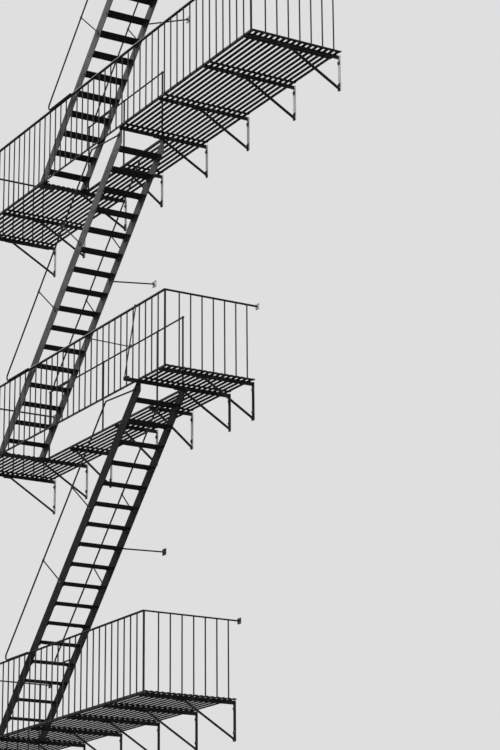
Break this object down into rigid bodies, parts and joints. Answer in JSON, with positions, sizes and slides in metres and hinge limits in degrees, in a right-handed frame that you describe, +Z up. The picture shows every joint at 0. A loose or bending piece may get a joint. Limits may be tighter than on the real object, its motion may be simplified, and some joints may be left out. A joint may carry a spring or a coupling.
{
  "type": "fire escape stair",
  "caption": "Wall-mounted iron fire escape: slatted balconies on strut brackets with baluster railings, joined by straight stairs with open bar treads and bent rod handrails.",
  "frame": {"origin": "centre of the back face of the wall leg of the lowest balcony's near-end bracket", "axes": "+Z up; +Y into the wall, whose face is the plane Y = 0; +X along the wall towards the balconies' near ends"},
  "size_m": [7.478, 1.415, 11.722],
  "materials": {
    "floor_iron": "weathered dark paint on iron, light rust at the edges and joints",
    "bracket_iron": "weathered dark paint on iron, light rust at the edges and joints",
    "railing_iron": "weathered dark paint on iron, light rust at the edges and joints",
    "stringer_iron": "weathered dark paint on iron, light rust at the edges and joints",
    "tread_iron": "weathered dark paint on iron, light rust at the edges and joints",
    "rod_iron": "weathered dark paint on iron, light rust at the edges and joints"
  },
  "bodies": {
    "root": {"bottom_far_end_railing": "railing_iron", "bottom_floor_battens": "floor_iron", "bottom_floor_slats": "floor_iron", "bottom_near_end_railing": "railing_iron", "bottom_outer_railing": "railing_iron", "bottom_wall_brackets": "bracket_iron", "guard_tie_rod": "rod_iron", "lower_stair_handrails": "rod_iron", "lower_stair_stringers": "stringer_iron", "lower_stair_treads": "tread_iron", "lower_wall_stay": "rod_iron", "middle_far_end_railing": "railing_iron", "middle_floor_battens": "floor_iron", "middle_floor_slats": "floor_iron", "middle_near_end_railing": "railing_iron", "middle_outer_railing": "railing_iron", "middle_stair_handrails": "rod_iron", "middle_stair_stringers": "stringer_iron", "middle_stair_treads": "tread_iron", "middle_stairwell_guard": "railing_iron", "middle_wall_brackets": "bracket_iron", "middle_wall_stay": "rod_iron", "outrigger_brace": "rod_iron", "top_far_end_railing": "railing_iron", "top_floor_battens": "floor_iron", "top_floor_slats": "floor_iron", "top_near_end_railing": "railing_iron", "top_outer_railing": "railing_iron", "top_stairwell_guard": "railing_iron", "top_wall_brackets": "bracket_iron", "upper_far_end_railing": "railing_iron", "upper_floor_battens": "floor_iron", "upper_floor_slats": "floor_iron", "upper_near_end_railing": "railing_iron", "upper_outer_railing": "railing_iron", "upper_stair_handrails": "rod_iron", "upper_stair_stringers": "stringer_iron", "upper_stair_treads": "tread_iron", "upper_stairwell_guard": "railing_iron", "upper_wall_brackets": "bracket_iron", "upper_wall_stay": "rod_iron"}
  },
  "joints": []
}
